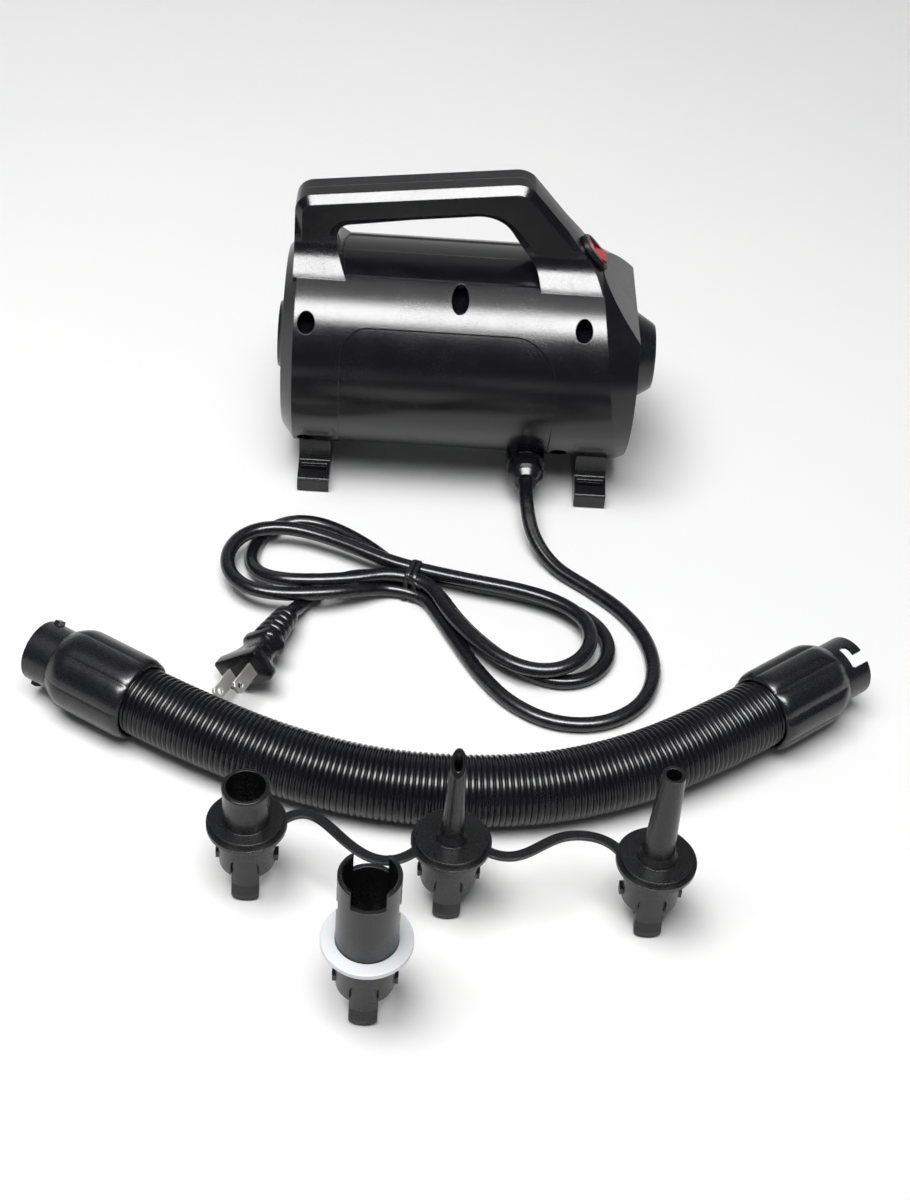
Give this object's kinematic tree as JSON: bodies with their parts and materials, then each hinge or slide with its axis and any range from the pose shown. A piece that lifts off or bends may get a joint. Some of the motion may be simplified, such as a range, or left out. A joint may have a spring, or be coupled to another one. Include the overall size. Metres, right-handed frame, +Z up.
{
  "type": "electric air mattress pump",
  "caption": "Barrel-shaped electric air pump with carrying handle, rocker switch, hanked mains lead, corrugated hose, tethered nozzles and valve adapter.",
  "frame": {"origin": "bottom centre of the box round the pump and its loose fittings, without the lead and the hose", "axes": "+X along the barrel towards the outlet, -Y to the front, +Z up"},
  "size_m": [0.3806, 0.43, 0.1598],
  "materials": {
    "casing": "satin black moulded plastic, finely textured",
    "fittings": "satin black moulded plastic",
    "feet": "glossy black moulded plastic",
    "rubber": "matt black rubber",
    "screws": "zinc-plated steel",
    "bezel": "black moulded plastic",
    "rocker": "translucent red plastic",
    "brass": "plain brass",
    "laminations": "stacked silicon-steel sheet",
    "copper": "enamelled copper",
    "brackets": "glass-filled plastic",
    "bronze": "sintered bronze",
    "steel": "ground steel",
    "fan": "moulded nylon",
    "carbon": "carbon block",
    "suppressor": "yellow cased capacitor",
    "lead": "glossy black PVC",
    "tie": "black coated wire",
    "blades": "nickel plate",
    "hose": "black corrugated plastic",
    "nozzles": "satin black moulded plastic",
    "gasket": "milky translucent silicone"
  },
  "bodies": {
    "pump": {"casing_screws": "screws", "cord_clamp": "brackets", "cord_gland": "lead", "cord_hank": "lead", "cord_lead": "lead", "cord_tail": "lead", "cord_tie": "tie", "diffuser": "brackets", "fan_shroud": "brackets", "far_casing_half": "casing", "field_coils": "copper", "field_core": "laminations", "foot_pads": "rubber", "foot_screws": "screws", "front_bush": "bronze", "front_motor_bracket": "brackets", "front_rubber_ring": "rubber", "inner_lead": "lead", "intake_grille": "fittings", "intake_port": "fittings", "left_foot": "feet", "lower_brush_holder": "brass", "lower_brush_spring": "steel", "near_casing_half": "casing", "outlet_port": "fittings", "plug_blades": "blades", "plug_body": "lead", "plug_relief": "lead", "rear_bush": "bronze", "rear_motor_bracket": "brackets", "rear_rubber_ring": "rubber", "right_foot": "feet", "suppressor": "suppressor", "switch_bezel": "bezel", "switch_terminals": "brass", "upper_brush_holder": "brass", "upper_brush_spring": "steel"},
    "rotor": {"shaft": "steel", "armature_core": "laminations", "armature_windings": "copper", "commutator": "copper", "impeller": "fan", "impeller_nut": "screws"},
    "rocker": {"switch_rocker": "rocker"},
    "upper_brush": {"upper_brush": "carbon"},
    "lower_brush": {"lower_brush": "carbon"},
    "hose": {"hose_tube": "hose", "hose_pump_cuff": "fittings", "hose_nozzle_cuff": "fittings"},
    "nozzle_set": {"wide_nozzle": "nozzles", "pinch_nozzle": "nozzles", "tapered_nozzle": "nozzles", "nozzle_tether": "nozzles"},
    "valve_adapter": {"valve_adapter": "nozzles"},
    "adapter_gasket": {"adapter_gasket": "gasket"}
  },
  "joints": [
    {"name": "rotor_spin", "type": "hinge", "parent": "pump", "child": "rotor", "pos_m": [0, 0.162, 0.062], "axis": [1, 0, 0], "continuous": true},
    {"name": "rocker_tilt", "type": "hinge", "parent": "pump", "child": "rocker", "pos_m": [0.05905, 0.162, 0.12074], "axis": [0, 1, 0], "range_deg": [0, 16]},
    {"name": "upper_brush_slide", "type": "slide", "parent": "pump", "child": "upper_brush", "axis": [0, 0, 1], "range_m": [0, 0.003], "stiffness_N_per_m": 200, "springref_m": -0.004, "deforming": ["upper_brush_spring"]},
    {"name": "lower_brush_slide", "type": "slide", "parent": "pump", "child": "lower_brush", "axis": [0, 0, -1], "range_m": [0, 0.003], "stiffness_N_per_m": 200, "springref_m": -0.004, "deforming": ["lower_brush_spring"]},
    {"name": "hose_lift", "type": "slide", "parent": "pump", "child": "hose", "axis": [0, 0, 1], "range_m": [0, 0.2]},
    {"name": "nozzle_set_lift", "type": "slide", "parent": "pump", "child": "nozzle_set", "axis": [0, 0, 1], "range_m": [0, 0.15]},
    {"name": "adapter_lift", "type": "slide", "parent": "pump", "child": "valve_adapter", "axis": [0, 0, 1], "range_m": [0, 0.15]},
    {"name": "gasket_slide", "type": "slide", "parent": "valve_adapter", "child": "adapter_gasket", "axis": [0, 0, 1], "range_m": [0, 0.045]}
  ]
}
